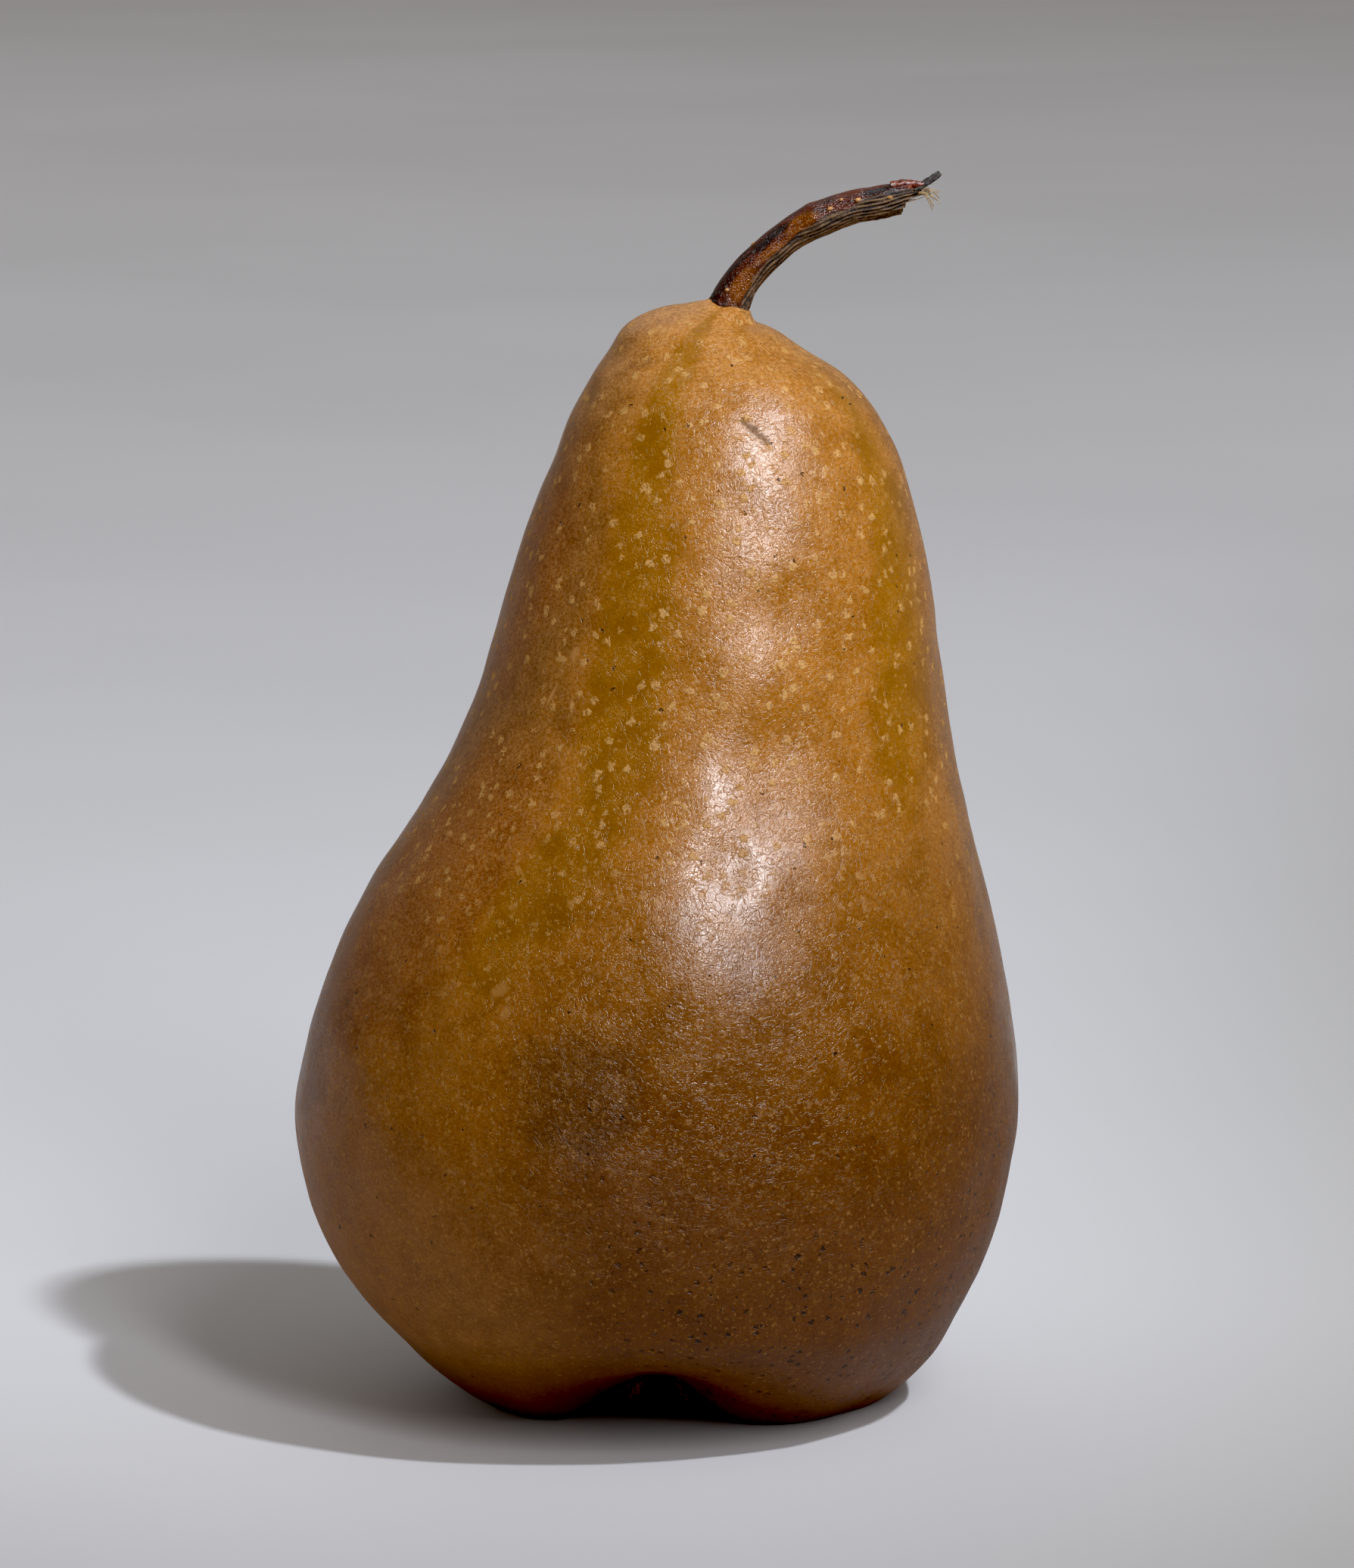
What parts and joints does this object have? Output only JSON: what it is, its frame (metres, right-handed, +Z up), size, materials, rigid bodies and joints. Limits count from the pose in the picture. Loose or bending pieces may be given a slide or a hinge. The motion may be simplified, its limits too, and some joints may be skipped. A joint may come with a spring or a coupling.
{
  "type": "pear",
  "caption": "Whole russet dessert pear with a bent woody stem and dried calyx sepals, standing upright on the lobes round its calyx.",
  "frame": {"origin": "on the surface it stands on, under the belly's axis", "axes": "+Z up through the fruit, +X the way the neck and the stem lean, -Y the front, where the wide valley between two lobes opens"},
  "size_m": [0.07, 0.0689, 0.1195],
  "materials": {
    "skin": "satin golden-brown russet with pale lenticels",
    "stem": "glossy red-brown bark above, dull grey-tan fibres below",
    "sepal": "matt, dried dark brown"
  },
  "bodies": {
    "root": {"fruit": "skin", "stem": "stem", "sepal_1": "sepal", "sepal_2": "sepal", "sepal_3": "sepal", "sepal_4": "sepal", "sepal_5": "sepal"}
  },
  "joints": []
}
